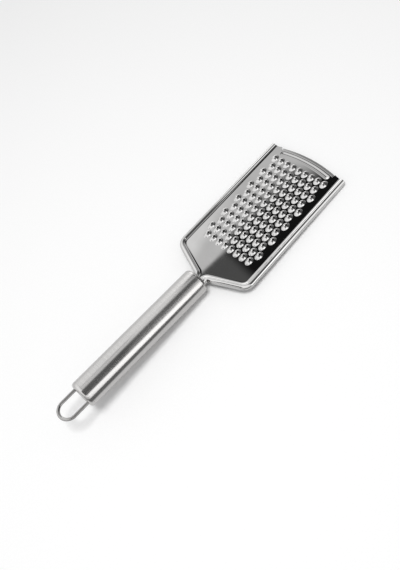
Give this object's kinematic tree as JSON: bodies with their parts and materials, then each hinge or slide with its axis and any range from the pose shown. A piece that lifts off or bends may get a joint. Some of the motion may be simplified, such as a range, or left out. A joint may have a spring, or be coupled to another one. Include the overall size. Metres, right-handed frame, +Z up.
{
  "type": "flat hand grater",
  "caption": "Flat steel hand grater: polished plate of raised hooded teeth in a rolled rim, on a round satin tube handle with a wire hanging loop.",
  "frame": {"origin": "centre of the bounding box in X and Y, on the table the grater lies on", "axes": "+X from the hanging loop along the handle to the free end of the plate, +Y across the plate, +Z up out of the plate on the side of the raised teeth"},
  "size_m": [0.2458, 0.0648, 0.0299],
  "materials": {
    "polished_steel": "mirror-polished stainless steel",
    "satin_steel": "satin stainless steel, finely brushed round the tube"
  },
  "bodies": {
    "root": {"grating_plate": "polished_steel", "frame_wire": "polished_steel", "hanging_loop": "polished_steel", "handle_tube": "satin_steel", "front_cap": "satin_steel", "rear_cap": "satin_steel"}
  },
  "joints": []
}
